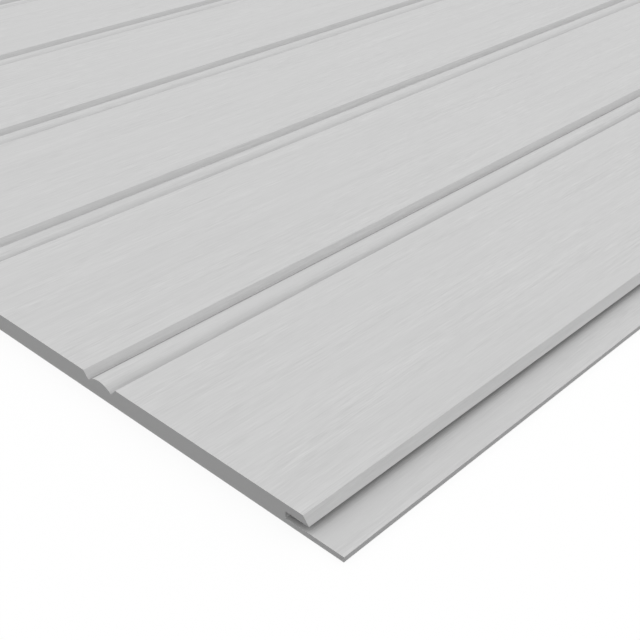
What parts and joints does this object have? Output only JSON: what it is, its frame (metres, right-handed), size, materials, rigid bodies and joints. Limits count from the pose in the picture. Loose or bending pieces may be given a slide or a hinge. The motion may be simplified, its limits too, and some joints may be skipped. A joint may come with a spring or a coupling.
{
  "type": "beadboard wall panel",
  "caption": "Flat wall panel with wide boards parted by beaded grooves, a lip and slot over a thin nailing flange on one edge, and a beaded nose with a tongue on the other.",
  "frame": {"origin": "middle of the panel's footprint, on its back", "axes": "+Y along the grooves, +X across the width towards the nailing flange, +Z out of the grooved face"},
  "size_m": [1.2166, 2.438, 0.0095],
  "materials": {
    "panel_stock": "matt light grey cellular PVC of one colour all through, with a fine brushed grain along the milled face and plain sawn ends"
  },
  "bodies": {
    "root": {"panel": "panel_stock"}
  },
  "joints": []
}
